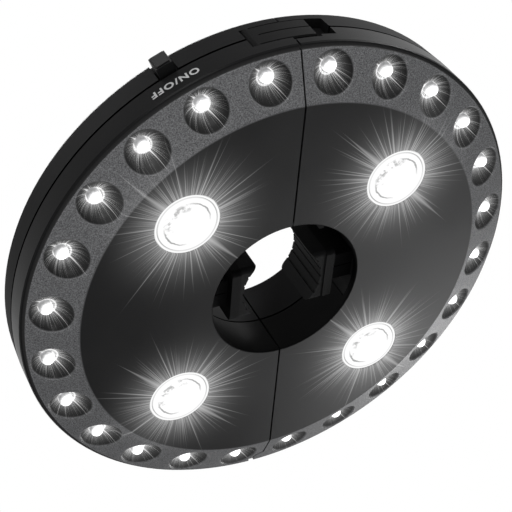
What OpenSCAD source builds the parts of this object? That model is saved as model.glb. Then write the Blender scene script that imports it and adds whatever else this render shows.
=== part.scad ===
// Clip-on patio umbrella light: two half rings that close round a pole.
// The lamps point down, the battery doors and the hooks are on the back, on top.
// The origin is on the pole's axis in the plane of the lamp face, +Z goes up the pole.
// Half A is at +X and carries the switch and the latch lever, half B is at -X.

/* [Housing] */
// Radius of the round housing
outer_r = 100; // [97:0.5:106]
// Height of the front cover, from the lamp face to its joint with the rear housing
front_h = 18.4; // [17.6:0.1:19]
// Height of the rear housing, from the joint to the back
rear_h = 19.6; // [19:0.1:24]
// Radius of the hole that the pole passes through
hole_r = 29.7; // [28.5:0.1:31]
// Width of the sloping band that holds the small lamps
band_w = 19.3; // [19:0.1:20.5]
// Height that the band climbs from the face to the rim
band_rise = 7.2; // [6:0.1:8]
// Width of the bevel round the back
bevel_w = 12.6; // [11:0.1:13]
// Height of the bevel round the back
bevel_h = 10; // [9:0.1:10.5]
// Wall of the mouldings
wall = 2.2; // [1.8:0.1:2.6]
// Gap between the two closed halves
seam_gap = 0.2; // [0.1:0.1:0.5]
// Width of the shadow line along the seam
seam_line_w = 0.7; // [0.5:0.1:1.2]
// Depth of the shadow line along the seam
seam_line_d = 1.2; // [0.8:0.1:1.6]
// Wall that closes each half along the seam
seam_wall = 2; // [1.6:0.1:2.4]
// Width of the shadow line where the front cover meets the rear housing
line_w = 0.5; // [0.3:0.1:0.8]

/* [Lamp band] */
// Small lamps in each half
ring_count = 12; // [10:1:12]
// Radius of a lamp bowl's rim, measured in the slope
bowl_r = 7.9; // [7:0.1:8.2]
// Depth of a lamp bowl under the slope
bowl_d = 5.5; // [5:0.1:6]
// Width of the chamfer round a bowl
bowl_chamfer = 0.7; // [0.4:0.1:0.9]
// Shell left behind a bowl
bowl_shell = 1.4; // [1:0.1:1.6]
// Radius of a small lamp's lens
led_r = 2.5; // [2:0.1:2.6]
// Length of a small lamp from its flange to its tip
led_len = 7.4; // [7:0.1:9]

/* [Spot lights] */
// Radius of the spot light's opening in the front cover
spot_r = 12.4; // [12:0.1:13]
// Radius of the lens's raised middle
spot_lens_r = 10.9; // [10.4:0.1:11.1]
// Height of the reflector behind the lens
reflector_h = 8.2; // [7:0.1:9]

/* [Pole clamp] */
// Radius of the pole that the closed jaws hold
grip_r = 16; // [15:0.1:17]
// Radius of the thickest pole that the jaws open to
grip_max_r = 23; // [22:0.1:24]
// Width of a jaw
jaw_w = 23; // [21:0.1:24]
// Height of a jaw
jaw_h = 24; // [22:0.1:25]
// Thickness of the rubber pad behind the middle of its grip
pad_t = 1.6; // [1.2:0.1:2]
// Thickness of the jaw's plate
jaw_plate = 3.6; // [3:0.1:4]
// Width of the jaw's stem
stem_w = 11.6; // [10:0.1:12]
// Height of the jaw's stem
stem_h = 16.8; // [15:0.1:18]
// Turns of a jaw's spring
jaw_spring_turns = 10; // [7:1:12]

/* [Latch] */
// Distance from the seam to the latch lever's free end
latch_reach = 9; // [8:0.1:10]
// Distance from the seam to the latch lever's pivot
latch_pivot_x = 12.4; // [11:0.1:14]
// Height of the latch lever
latch_h = 11.2; // [10:0.1:12]
// Thickness of the latch lever
latch_t = 3; // [2.6:0.1:3.2]
// Width of the finger recess beside the lever
finger_w = 7; // [6:0.1:8]
// Radius of the barrel at the lever's pivot
latch_barrel_r = 2.3; // [2:0.1:2.4]

/* [Hinge] */
// Radius of the hinge's knuckles
knuckle_r = 3.6; // [3:0.1:4]
// Radius of the hinge pin
hinge_pin_r = 1.2; // [1:0.1:1.4]
// Height of the middle knuckle
knuckle_h = 7.7; // [7:0.1:8.5]

/* [Power button] */
// Direction of the button from +X, in degrees
button_angle = 64.9; // [62:0.1:67]
// Width of the button
button_w = 6.1; // [5:0.1:7]
// Height of the button
button_h = 7.3; // [6:0.1:7.6]
// How far the button stands out of the rim
button_out = 3.5; // [3:0.1:4]
// How far the button travels
button_travel = 1.5; // [1:0.1:1.6]

/* [Batteries] */
// Radius of an AA cell
cell_r = 7.25; // [7.1:0.01:7.25]
// Length of an AA cell's body, without its nub
cell_len = 49.5; // [48:0.1:50]
// Distance between the middles of two cells
cell_pitch = 14.8; // [14.8:0.1:15]
// Turns of a contact spring
contact_turns = 3; // [2:1:3]

/* [Hooks] */
// Distance from the hook's pivot to the middle of its loop
hook_len = 24; // [22:0.1:25]
// Outer radius of the hook's loop
hook_loop_r = 6; // [5.6:0.1:6.4]
// Thickness of the hook's strap
hook_t = 3; // [2.6:0.1:3.2]

/* [Hidden] */
$fn = 72;

// Clearances and overruns
slip = 0.3;
touch_gap = 0.1;
pin_slip = 0.05;
over = 1;
reach = 2 * outer_r;

// Colours
shell_colour = [0.16, 0.16, 0.17];
jaw_colour = [0.1, 0.1, 0.11];
rubber_colour = [0.05, 0.05, 0.055];
board_colour = [0.86, 0.87, 0.84];
lamp_colour = [0.97, 0.98, 1];
lens_colour = [0.85, 0.9, 0.95];
chrome_colour = [0.8, 0.81, 0.83];
steel_colour = [0.62, 0.63, 0.65];
cell_colour = [0.2, 0.22, 0.25];

// Housing profile, worked out from the housing sizes
part_z = front_h;
height = front_h + rear_h;
side_z = height - bevel_h;
face_r = outer_r - band_w;
groove_w = 0.6;
groove_d = 1;
rim_round = 0.9;
band_r = outer_r - rim_round - groove_w;
rim_z = band_rise + rim_round;
slope = atan(band_rise / (band_r - face_r));
back_r = outer_r - bevel_w;
draft = 0.5;
edge_chamfer = 1;
hole_chamfer = 0.5;
inner_r = outer_r - wall;
cavity_top = height - wall;
lip_t = wall;

// Small lamps
ring_step = 180 / ring_count;
bowl_shift = 0.7;
led_inset = 0.4;
bowl_c = (face_r + band_r) / 2 + bowl_shift;
bowl_z = (bowl_c - face_r) * tan(slope);
bowl_sphere_r = (bowl_r * bowl_r + bowl_d * bowl_d) / (2 * bowl_d);
bowl_up = bowl_sphere_r - bowl_d;
bowl_sphere_c = bowl_c + bowl_up * sin(slope);
bowl_sphere_z = bowl_z - bowl_up * cos(slope);
led_c = bowl_sphere_c - led_inset;
led_flange = 0.4;
led_flange_r = led_r + led_flange;
led_slip = 0.2;
led_flange_h = 1;
board_t = 1.6;
board_gap = 2;
ring_board_z = bowl_sphere_z + bowl_sphere_r + bowl_shell + board_gap;
led_tip_z = ring_board_z - led_len;
ring_board_inset = 6;
ring_board_in = led_c - ring_board_inset;
ring_board_out = led_c + led_flange_r;
ring_board_end = 7.8;
standoff_r = 1.6;
standoff_inset = 3;

// Spot lights
spot_ring_share = 0.563;
spot_ring_r = hole_r + spot_ring_share * (face_r - hole_r);
spot_xy = spot_ring_r * cos(45);
spot_lip = 1.8;
spot_flange = 0.9;
spot_flange_t = 1.3;
spot_tube = 1.5;
spot_seat_r = spot_r + spot_flange;
spot_tube_r = spot_seat_r + slip + spot_tube;
spot_back_z = spot_lip + spot_flange_t;
spot_board_z = spot_back_z + reflector_h;
spot_tube_h = 6;
spot_board_r = 10;
spot_led_r = 3.2;
spot_throat_r = 4.4;
spot_recess = 0.35;
spot_step = 0.5;

// Pole clamp
jaw_lift = 0.7;
jaw_z = lip_t + jaw_lift;
jaw_mid_z = jaw_z + jaw_h / 2;
jaw_top_z = jaw_z + jaw_h;
pad_back_x = grip_r + pad_t;
plate_back_x = pad_back_x + jaw_plate;
jaw_half = jaw_w / 2;
pad_tip_x = sqrt(grip_r * grip_r - jaw_half * jaw_half);
jaw_travel = sqrt(grip_max_r * grip_max_r - jaw_half * jaw_half) - pad_tip_x;
pad_inset = 0.4;
jaw_corner_r = 2;
pad_groove_r = 0.5;
pad_groove_angle = 14;
jaw_side_gap = 0.9;
pocket_half = jaw_half + jaw_side_gap;
jaw_back_gap = 1;
pocket_x = plate_back_x + jaw_travel + jaw_back_gap;
guide_wall = 1.8;
lug_w = 2.3;
lug_l = 3;
lug_x = pocket_x + guide_wall + touch_gap;
stem_end_x = lug_x + lug_l;
chamber_gap = 0.8;
chamber_end_x = stem_end_x + jaw_travel + chamber_gap;
guide_end_x = chamber_end_x + guide_wall;
chamber_half = stem_w / 2 + lug_w + slip;
guide_half = pocket_half + guide_wall;
stem_z = jaw_mid_z - stem_h / 2;
stem_top_z = jaw_mid_z + stem_h / 2;
stem_bore_r = 3.4;
stem_bore_x = plate_back_x + guide_wall;
jaw_spring_r = 2.7;
jaw_wire_r = 0.35;
guide_top_z = jaw_top_z + slip + guide_wall;
stem_line_w = 0.5;
stem_line_d = 0.6;

// Latch
latch_drop = 4.9;
latch_z = part_z - latch_drop;
latch_top_z = latch_z + latch_h;
latch_face_r = outer_r - touch_gap;
latch_in_r = latch_face_r - latch_t;
latch_floor_gap = 0.6;
latch_floor_r = latch_in_r - latch_floor_gap;
latch_pivot_r = latch_face_r - latch_barrel_r;
latch_pivot_y = sqrt(latch_pivot_r * latch_pivot_r - latch_pivot_x * latch_pivot_x);
latch_pin_r = 0.8;
latch_skin = 0.8;
latch_block_r = latch_pivot_r - latch_barrel_r - slip - latch_skin;
latch_block_wall = 1.6;
finger_step = 0.5;
finger_floor_r = latch_floor_r - finger_step;
finger_x = latch_reach + finger_w + slip;
latch_edge = 0.5;
latch_line_w = 0.5;
latch_line_d = 0.4;
catch_h = 0.35;
catch_x = 5.5;
catch_w = 1.6;
scoop_h = 1.3;
scoop_d = 0.8;

// Hinge
knuckle_inset = 0.2;
hinge_y = -(outer_r - knuckle_r - knuckle_inset);
hinge_relief_share = 1.4;
hinge_relief_r = hinge_relief_share * (outer_r + hinge_y) + slip;
hinge_shell = 1.8;
hinge_block_r = hinge_relief_r + hinge_shell;
knuckle_gap = 0.3;
knuckle_clear = 0.65;
knuckle_drop = 4.1;
knuckle_z = part_z - knuckle_drop;
knuckle_top_z = knuckle_z + knuckle_h;
hinge_pin_z = 8;
hinge_pin_rise = 1;
hinge_pin_top_z = side_z + hinge_pin_rise;

// Power button
button_lift = 1.5;
button_z = part_z + button_lift;
button_side_gap = 0.8;
recess_w = button_w + 2 * button_side_gap;
recess_d = 3.4;
recess_floor_x = outer_r - recess_d;
recess_wall = 2;
button_block_x = recess_floor_x - recess_wall;
button_flange = 1.2;
button_flange_t = 1.4;
button_chamfer = 0.6;
plunger_r = 1.7;
switch_s = 6.2;
switch_inset = 8.2;
switch_x = button_block_x - switch_inset;
switch_t = 4.2;
plunger_seat = 0.8;
plunger_x = switch_x + switch_t - plunger_seat;
plunger_slip = 0.2;
switch_board_w = 16;
switch_board_gap = 0.5;
switch_board_z = part_z + switch_board_gap;
shelf_gap = 0.6;
shelf_z = button_z + button_h + button_flange + shelf_gap;
shelf_t = 1.5;

// Batteries
cell_gap = 0.3;
cell_mid_z = cavity_top - cell_r - cell_gap;
nub_r = 2.75;
nub_h = 1;
plate_t = 0.4;
contact_spring_len = 4.5;
contact_gap = touch_gap;
bay_half = (cell_len + nub_h + contact_spring_len) / 2 + contact_gap + plate_t;
tray_wall = 1.4;
bay_x = guide_end_x + tray_wall;
cell_x = bay_x + cell_r + cell_gap;
bay_end_x = cell_x + cell_pitch + cell_r + cell_gap;
tray_z = cell_mid_z - cell_r - cell_gap;
contact_wire_r = 0.35;
contact_spring_r = 3.9;
contact_spring_tip_r = 2.6;

// Battery doors
door_t = wall;
door_z = height - door_t;
door_margin = 2.4;
door_x = bay_x - door_margin;
door_side = 2;
door_half = bay_half + door_side;
door_rib = 0.9;
door_rib_h = 0.7;
door_rib_inset = 4;
door_rib_x = door_x + door_rib_inset;
door_rib_len = 24;
door_floor_t = 2;
grip_line_w = 1.1;
grip_line_d = 0.5;
grip_line_len = 22;
grip_line_step = 2.6;
grip_line_count = 6;
door_grip_inset = 14;
door_grip_x = bay_end_x - door_grip_inset;
tread = 0.15;

// Hooks
hook_place_share = [0.28, 0.44];
hook_x = outer_r * hook_place_share[0];
hook_y = outer_r * hook_place_share[1];
hook_depth = 2;
hook_z = height - hook_depth;
hook_barrel_r = 1.8;
hook_pin_r = 0.8;
hook_hole_r = 3.6;
hook_stem_w = 5;
hook_barrel_w = 12;
hook_recess = 0.2;
hook_top_z = height - hook_recess;
hook_side_gap = 0.6;
hook_pocket_half = hook_loop_r + hook_side_gap;
hook_floor_gap = 0.9;
hook_pocket_z = hook_top_z - hook_t - hook_floor_gap;
hook_pocket_wall = 1.6;
hook_notch = 5;
hook_swing_y = hook_y - hook_barrel_r - hook_side_gap;
hook_pocket_end = hook_y + hook_len + hook_loop_r + hook_notch;

// Housing screws
screw_near_share = [0.075, 0.58];
screw_far_share = [0.62, 0.5];
screw_near = outer_r * screw_near_share;
screw_far = outer_r * screw_far_share;
screw_r = 1.4;
screw_head_r = 2.7;
screw_head_h = 2.2;
screw_slip = 0.05;
screw_post_r = 3.9;
screw_len = 17;
screw_well_r = 3.1;
screw_seat_rise = 7;
screw_seat_z = part_z + screw_seat_rise;
screw_slot_w = 0.8;
screw_slot_d = 1;

// Shapes used by many pieces
module turned(points) {
    rotate_extrude() polygon(points);
}

module own_side(x) {
    translate([x, -reach, -reach]) cube([reach, 2 * reach, 2 * reach]);
}

module slab(x0, x1, half, z0, z1) {
    translate([x0, -half, z0]) cube([x1 - x0, 2 * half, z1 - z0]);
}

module ring_piece(r0, r1, x0, x1, z0, z1) {
    intersection() {
        difference() {
            translate([0, 0, z0]) cylinder(r = r1, h = z1 - z0);
            translate([0, 0, z0 - over]) cylinder(r = r0, h = z1 - z0 + 2 * over);
        }
        translate([x0, 0, z0 - over]) cube([x1 - x0, reach, z1 - z0 + 2 * over]);
    }
}

// A round wire wound along +Z, as one unbroken tube that may taper
coil_rings = 8;
coil_sides = 6;

function coil_point(i, n, len, r0, r1, turns) =
    let (t = i / n, a = 360 * turns * t, r = r0 + (r1 - r0) * t) [r * cos(a), r * sin(a), len * t];

function coil_gap(path, wire) =
    min([for (i = [0 : len(path) - 1]) for (j = [i + coil_sides : len(path) - 1]) norm(path[i] - path[j])]) - 2 * wire;

module coil(len, r0, r1, wire, turns) {
    n = turns * coil_rings;
    path = [for (i = [0 : n]) coil_point(i, n, len - 2 * wire, r0, r1, turns)];
    points = [for (i = [0 : n]) for (k = [0 : coil_sides - 1])
        let (a = 360 * turns * i / n, b = 360 * k / coil_sides)
            path[i] + [wire * cos(b) * cos(a), wire * cos(b) * sin(a), wire + wire * sin(b)]];
    walls = [for (i = [0 : n - 1]) for (k = [0 : coil_sides - 1])
        let (p = i * coil_sides + k, q = i * coil_sides + (k + 1) % coil_sides)
            each [[p, q + coil_sides, p + coil_sides], [p, q, q + coil_sides]]];
    first = [for (k = [1 : coil_sides - 2]) [0, k + 1, k]];
    last = [for (k = [1 : coil_sides - 2]) [n * coil_sides, n * coil_sides + k, n * coil_sides + k + 1]];
    echo("least gap between curls", coil_gap(path, wire));
    polyhedron(points = points, faces = concat(walls, first, last));
}

// Outer forms of the two mouldings, and the hollows inside them
front_form = [
    [hole_r, hole_chamfer],
    [hole_r + hole_chamfer, 0],
    [face_r, 0],
    [band_r, band_rise],
    [band_r, band_rise + groove_d],
    [band_r + groove_w, band_rise + groove_d],
    [band_r + groove_w, rim_z],
    [outer_r - rim_round / 3, rim_z + rim_round / 3],
    [outer_r, rim_z + rim_round],
    [outer_r, part_z - line_w / 2],
    [outer_r - rim_round, part_z - line_w / 2],
    [outer_r - rim_round, part_z],
    [hole_r + line_w, part_z],
    [hole_r + line_w, part_z - line_w / 2],
    [hole_r, part_z - line_w / 2]
];

front_hollow = [
    [hole_r + wall, lip_t],
    [face_r - wall * sin(slope), lip_t],
    [inner_r, lip_t + (inner_r - face_r + wall * sin(slope)) * tan(slope) + rim_round],
    [inner_r, part_z + over],
    [hole_r + wall, part_z + over]
];

rear_form = [
    [hole_r, part_z + line_w / 2],
    [hole_r + line_w, part_z + line_w / 2],
    [hole_r + line_w, part_z],
    [outer_r - rim_round, part_z],
    [outer_r - rim_round, part_z + line_w / 2],
    [outer_r, part_z + line_w / 2],
    [outer_r - draft, side_z],
    [outer_r - draft - edge_chamfer / 2, side_z + edge_chamfer],
    [back_r + edge_chamfer, height - edge_chamfer / 2],
    [back_r - edge_chamfer / 2, height],
    [hole_r + hole_chamfer, height],
    [hole_r, height - hole_chamfer]
];

rear_hollow = [
    [hole_r + wall, part_z - over],
    [inner_r, part_z - over],
    [inner_r, side_z - edge_chamfer],
    [back_r - wall / 2, cavity_top],
    [hole_r + wall, cavity_top]
];

front_core = [
    [hole_r + seam_line_d, seam_line_d],
    [face_r, seam_line_d],
    [band_r - seam_line_d, band_rise + seam_line_d],
    [outer_r - seam_line_d, rim_z + seam_line_d],
    [outer_r - seam_line_d, part_z + over],
    [hole_r + seam_line_d, part_z + over]
];

rear_core = [
    [hole_r + seam_line_d, part_z - over],
    [outer_r - seam_line_d, part_z - over],
    [outer_r - draft - seam_line_d, side_z],
    [back_r, height - seam_line_d],
    [hole_r + seam_line_d, height - seam_line_d]
];

// The shadow line sunk along the seam, outside the given core
module seam_line(core) {
    difference() {
        slab(-over, seam_line_w / 2, reach, -over, height + over);
        turned(core);
    }
}

module front_half_form() {
    intersection() {
        turned(front_form);
        own_side(seam_gap / 2);
    }
}

module rear_half_form() {
    intersection() {
        turned(rear_form);
        own_side(seam_gap / 2);
    }
}

// Places of the small lamps and of what they sit in, seen from their own half
module at_ring_lamps() {
    for (i = [0 : ring_count - 1]) rotate([0, 0, -90 + ring_step * (i + 0.5)]) children();
}

module at_standoffs() {
    for (i = [2 : 3 : ring_count - 1]) rotate([0, 0, -90 + ring_step * i]) children();
}

module at_spots() {
    for (side = [-1, 1]) translate([spot_xy, side * spot_xy, 0]) children();
}

module at_screws() {
    for (side = [-1, 1]) {
        translate([screw_near[0], side * screw_near[1], 0]) children();
        translate([screw_far[0], side * screw_far[1], 0]) children();
    }
}

module bowl_cut() {
    translate([bowl_sphere_c, 0, bowl_sphere_z]) sphere(r = bowl_sphere_r);
    translate([bowl_c, 0, bowl_z]) rotate([0, 180 - slope, 0])
        translate([0, 0, -bowl_chamfer])
            cylinder(r1 = bowl_r - bowl_chamfer / 2, r2 = bowl_r + bowl_chamfer * 1.5, h = bowl_chamfer * 2);
}

// The box that guides the jaw's stem, cut through by the hole and by the jaw's path
module guide_block(z0, z1) {
    difference() {
        slab(hole_r - wall, guide_end_x, guide_half, z0, z1);
        translate([0, 0, z0 - over]) cylinder(r = hole_r, h = z1 - z0 + 2 * over);
    }
}

module guide_cuts() {
    slab(0, pocket_x, pocket_half, jaw_z - slip, jaw_top_z + slip);
    slab(pocket_x - over, lug_x, stem_w / 2 + slip, stem_z - slip, stem_top_z + slip);
    slab(lug_x - touch_gap, chamber_end_x, chamber_half, stem_z - slip, stem_top_z + slip);
}

// Latch pocket: lever and barrel on side A, lever and finger room on side B
module latch_block(z0, z1) {
    ring_piece(latch_block_r, outer_r - rim_round, seam_gap / 2, finger_x + latch_block_wall, z0, z1);
}

module latch_pocket(side_a) {
    z0 = latch_z - slip;
    z1 = latch_top_z + slip;
    if (side_a) {
        ring_piece(latch_floor_r, outer_r + over, -over, latch_pivot_x, z0, z1);
        translate([latch_pivot_x, latch_pivot_y, z0]) cylinder(r = latch_barrel_r + slip, h = z1 - z0);
        translate([latch_pivot_x - over, latch_pivot_y, z0])
            cube([latch_barrel_r + slip + over, outer_r, z1 - z0]);
        translate([latch_pivot_x, latch_pivot_y, z0 - latch_block_wall + slip])
            cylinder(r = latch_pin_r + pin_slip, h = z1 - z0 + 2 * latch_block_wall - 2 * slip);
    } else {
        ring_piece(latch_floor_r, outer_r + over, -over, latch_reach + slip + over, z0, z1);
        ring_piece(finger_floor_r, outer_r + over, latch_reach + slip, finger_x, z0, z1);
        ring_piece(outer_r - scoop_d, outer_r + over, -over, latch_reach + slip + over, z0 - scoop_h, z1);
    }
}

// Hinge: the middle knuckle belongs to half A, the two outer ones to half B
module hinge_block(z0, z1) {
    translate([0, hinge_y, z0]) cylinder(r = hinge_block_r, h = z1 - z0);
}

module hinge_relief(z0, z1) {
    translate([0, hinge_y, z0]) {
        cylinder(r = knuckle_r + knuckle_clear, h = z1 - z0);
        intersection() {
            cylinder(r = hinge_relief_r, h = z1 - z0);
            translate([-reach, -reach, 0]) cube([2 * reach, reach, z1 - z0]);
        }
    }
}

module knuckle(z0, z1) {
    translate([0, hinge_y, z0]) cylinder(r = knuckle_r, h = z1 - z0);
}

module hinge_bore() {
    translate([0, hinge_y, hinge_pin_z]) cylinder(r = hinge_pin_r + pin_slip, h = height);
}

// One front cover, seen from its own half
module front_cover(side_a) {
    color(shell_colour) difference() {
        union() {
            difference() {
                union() {
                    difference() {
                        front_half_form();
                        intersection() {
                            turned(front_hollow);
                            own_side(seam_gap / 2 + seam_wall);
                        }
                    }
                    intersection() {
                        turned(front_form);
                        own_side(seam_gap / 2);
                        front_inner_parts();
                    }
                }
                front_hinge_relief(side_a);
                seam_line(front_core);
            }
            intersection() {
                turned(front_form);
                front_knuckle(side_a);
            }
        }
        at_ring_lamps() {
            bowl_cut();
            translate([led_c, 0, led_tip_z]) cylinder(r = led_r + led_slip, h = led_len);
        }
        at_spots() spot_cut();
        at_screws() translate([0, 0, screw_seat_z - screw_len - slip])
            cylinder(r = screw_r + screw_slip, h = screw_len);
        guide_cuts();
        latch_pocket(side_a);
        hinge_bore();
    }
}

module front_inner_parts() {
    at_ring_lamps() translate([bowl_sphere_c, 0, bowl_sphere_z]) sphere(r = bowl_sphere_r + bowl_shell);
    at_standoffs() translate([led_c - standoff_inset, 0, lip_t]) cylinder(r = standoff_r, h = ring_board_z - lip_t);
    at_spots() cylinder(r = spot_tube_r, h = spot_tube_h);
    at_screws() cylinder(r = screw_post_r, h = part_z);
    guide_block(0, part_z);
    latch_block(latch_z - slip - latch_block_wall, part_z);
    hinge_block(0, part_z);
}

module front_hinge_relief(side_a) {
    if (side_a) hinge_relief(-over, knuckle_z - knuckle_gap / 2);
    else hinge_relief(knuckle_z - knuckle_gap / 2, part_z + over);
}

module front_knuckle(side_a) {
    if (side_a) knuckle(knuckle_z, part_z);
    else knuckle(0, knuckle_z - knuckle_gap);
}

module spot_cut() {
    translate([0, 0, -over]) cylinder(r = spot_r, h = spot_lip + 2 * over);
    translate([0, 0, spot_lip]) cylinder(r = spot_seat_r + slip, h = spot_tube_h);
}

// One rear housing, seen from its own half
module rear_housing(side_a) {
    color(shell_colour) difference() {
        union() {
            difference() {
                union() {
                    difference() {
                        rear_half_form();
                        intersection() {
                            turned(rear_hollow);
                            own_side(seam_gap / 2 + seam_wall);
                        }
                    }
                    intersection() {
                        turned(rear_form);
                        own_side(seam_gap / 2);
                        rear_inner_parts(side_a);
                    }
                }
                rear_hinge_relief(side_a);
                seam_line(rear_core);
            }
            intersection() {
                turned(rear_form);
                rear_knuckle(side_a);
            }
        }
        battery_bay_cut();
        door_cut();
        guide_cuts();
        latch_pocket(side_a);
        hinge_bore();
        at_screws() screw_well();
        if (side_a) {
            button_cut();
            hook_cut();
        } else {
            mirror([0, 1, 0]) hook_cut();
        }
    }
}

module rear_inner_parts(side_a) {
    slab(door_x - door_margin, outer_r, door_half + door_margin, door_z - door_floor_t, height);
    slab(bay_x - tray_wall, bay_end_x + tray_wall, bay_half + tray_wall, tray_z - tray_wall, height);
    guide_block(part_z, guide_top_z);
    at_screws() translate([0, 0, part_z]) cylinder(r = screw_post_r, h = height - part_z);
    latch_block(part_z, latch_top_z + slip + latch_block_wall);
    hinge_block(part_z, height);
    if (side_a) {
        button_block();
        hook_box();
    } else {
        mirror([0, 1, 0]) hook_box();
    }
}

module rear_hinge_relief(side_a) {
    if (side_a) hinge_relief(knuckle_top_z + knuckle_gap / 2, height + over);
    else hinge_relief(part_z - over, knuckle_top_z + knuckle_gap / 2);
}

module rear_knuckle(side_a) {
    if (side_a) knuckle(part_z, knuckle_top_z);
    else knuckle(knuckle_top_z + knuckle_gap, hinge_pin_top_z + over);
}

module battery_bay_cut() {
    slab(bay_x, bay_end_x, bay_half, tray_z, height + over);
}

module door_cut() {
    slab(door_x - slip, reach, door_half + slip, door_z, height + over);
    slab(door_x - slip, reach, door_half + slip + door_rib, door_z + (door_t - door_rib_h) / 2 - slip / 2,
        door_z + (door_t + door_rib_h) / 2 + slip / 2);
}

module screw_well() {
    translate([0, 0, screw_seat_z]) cylinder(r = screw_well_r, h = height);
    translate([0, 0, part_z - over]) cylinder(r = screw_r + screw_slip, h = height);
}

module hook_box() {
    translate([hook_x - hook_pocket_half - hook_pocket_wall, hook_swing_y - hook_pocket_wall,
        hook_pocket_z - hook_pocket_wall])
        cube([2 * (hook_pocket_half + hook_pocket_wall),
            hook_pocket_end - hook_swing_y + 2 * hook_pocket_wall, height - hook_pocket_z + hook_pocket_wall]);
}

module hook_cut() {
    translate([hook_x - hook_pocket_half, hook_swing_y, hook_pocket_z])
        cube([2 * hook_pocket_half, hook_pocket_end - hook_swing_y, height]);
    translate([hook_x - hook_pocket_half - hook_pocket_wall / 2, hook_y, hook_z]) rotate([0, 90, 0])
        cylinder(r = hook_pin_r + pin_slip, h = 2 * hook_pocket_half + hook_pocket_wall);
}

module button_block() {
    rotate([0, 0, button_angle]) {
        slab(button_block_x, inner_r, recess_w / 2 + wall, part_z, shelf_z + shelf_t);
        slab(switch_x - board_t, inner_r, switch_board_w / 2, shelf_z, shelf_z + shelf_t);
    }
}

module button_cut() {
    rotate([0, 0, button_angle]) {
        slab(recess_floor_x, reach, recess_w / 2, part_z + line_w / 2, height + over);
        slab(button_block_x - over, recess_floor_x + over, button_w / 2 + slip, button_z - slip,
            button_z + button_h + slip);
    }
}

// Boards and lamps of one half
module ring_board() {
    color(board_colour) difference() {
        intersection() {
            translate([0, 0, ring_board_z]) cylinder(r = ring_board_out, h = board_t);
            own_side(ring_board_end);
        }
        translate([0, 0, ring_board_z - over]) cylinder(r = ring_board_in, h = board_t + 2 * over);
    }
}

module ring_leds() {
    color(lamp_colour) at_ring_lamps() translate([led_c, 0, 0]) {
        translate([0, 0, led_tip_z + led_r]) sphere(r = led_r);
        translate([0, 0, led_tip_z + led_r]) cylinder(r = led_r, h = led_len - led_r);
        translate([0, 0, ring_board_z - led_flange_h]) cylinder(r = led_flange_r, h = led_flange_h);
    }
}

// One spot light at its place
module spot_lens() {
    lens_back = spot_back_z + spot_step;
    color(lens_colour) turned([
        [0, spot_recess],
        [spot_lens_r, spot_recess],
        [spot_lens_r, spot_recess + spot_step],
        [spot_lens_r + spot_step, spot_recess + spot_step],
        [spot_lens_r + spot_step, spot_recess],
        [spot_r - slip, spot_recess],
        [spot_r - slip, spot_lip],
        [spot_seat_r, spot_lip],
        [spot_seat_r, spot_back_z],
        [spot_lens_r, spot_back_z],
        [spot_lens_r - spot_step, lens_back],
        [0, lens_back + spot_step]
    ]);
}

module spot_reflector() {
    color(chrome_colour) turned([
        [spot_lens_r + spot_step, spot_back_z],
        [spot_seat_r, spot_back_z],
        [spot_seat_r, spot_tube_h],
        [spot_board_r, spot_board_z],
        [spot_throat_r, spot_board_z],
        [spot_throat_r, spot_board_z - spot_step],
        [spot_lens_r / 2 + spot_throat_r / 2, spot_board_z - reflector_h / 2]
    ]);
}

module spot_board() {
    color(board_colour) translate([0, 0, spot_board_z]) cylinder(r = spot_board_r, h = board_t);
}

module spot_led() {
    led_h = spot_step * 2;
    translate([0, 0, spot_board_z - led_h]) cylinder(r = spot_led_r, h = led_h);
    translate([0, 0, spot_board_z - led_h]) intersection() {
        sphere(r = spot_led_r - spot_step);
        translate([-outer_r, -outer_r, -outer_r]) cube([reach, reach, outer_r]);
    }
}

// One jaw, its pad and its spring, seen from its own half
module jaw_plate(x0, x1, half, z0, z1) {
    slab(x0, x1, half - jaw_corner_r, z0, z1);
    slab(x0, x1, half, z0 + jaw_corner_r, z1 - jaw_corner_r);
    for (y = [jaw_corner_r - half, half - jaw_corner_r]) for (z = [z0 + jaw_corner_r, z1 - jaw_corner_r])
        translate([x0, y, z]) rotate([0, 90, 0]) cylinder(r = jaw_corner_r, h = x1 - x0);
}

module jaw() {
    color(jaw_colour) difference() {
        union() {
            jaw_plate(pad_back_x, plate_back_x, jaw_half, jaw_z, jaw_top_z);
            slab(plate_back_x - over, stem_end_x, stem_w / 2, stem_z, stem_top_z);
            slab(lug_x, stem_end_x, stem_w / 2 + lug_w, stem_z, stem_top_z);
        }
        translate([stem_bore_x, 0, jaw_mid_z]) rotate([0, 90, 0]) cylinder(r = stem_bore_r, h = outer_r);
        slab(plate_back_x + stem_line_d, stem_end_x + over, stem_line_w / 2, stem_z - over, stem_z + stem_line_d);
    }
}

module jaw_pad() {
    color(rubber_colour) difference() {
        jaw_plate(0, pad_back_x, jaw_half, jaw_z + pad_inset, jaw_top_z - pad_inset);
        translate([0, 0, jaw_z - over]) cylinder(r = grip_r, h = jaw_h + 2 * over);
        for (i = [-2 : 2]) rotate([0, 0, i * pad_groove_angle])
            translate([grip_r, 0, jaw_z - over]) cylinder(r = pad_groove_r, h = jaw_h + 2 * over);
    }
}

module jaw_spring() {
    color(steel_colour) translate([stem_bore_x + touch_gap, 0, jaw_mid_z]) rotate([0, 90, 0])
        coil(chamber_end_x - stem_bore_x - 2 * touch_gap, jaw_spring_r, jaw_spring_r, jaw_wire_r, jaw_spring_turns);
}

// Latch lever and its pin, closed across the seam
latch_form = [
    [0, latch_z],
    [latch_face_r - latch_edge, latch_z],
    [latch_face_r, latch_z + latch_edge],
    [latch_face_r, latch_top_z - latch_edge],
    [latch_face_r - latch_edge, latch_top_z],
    [0, latch_top_z]
];

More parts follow.
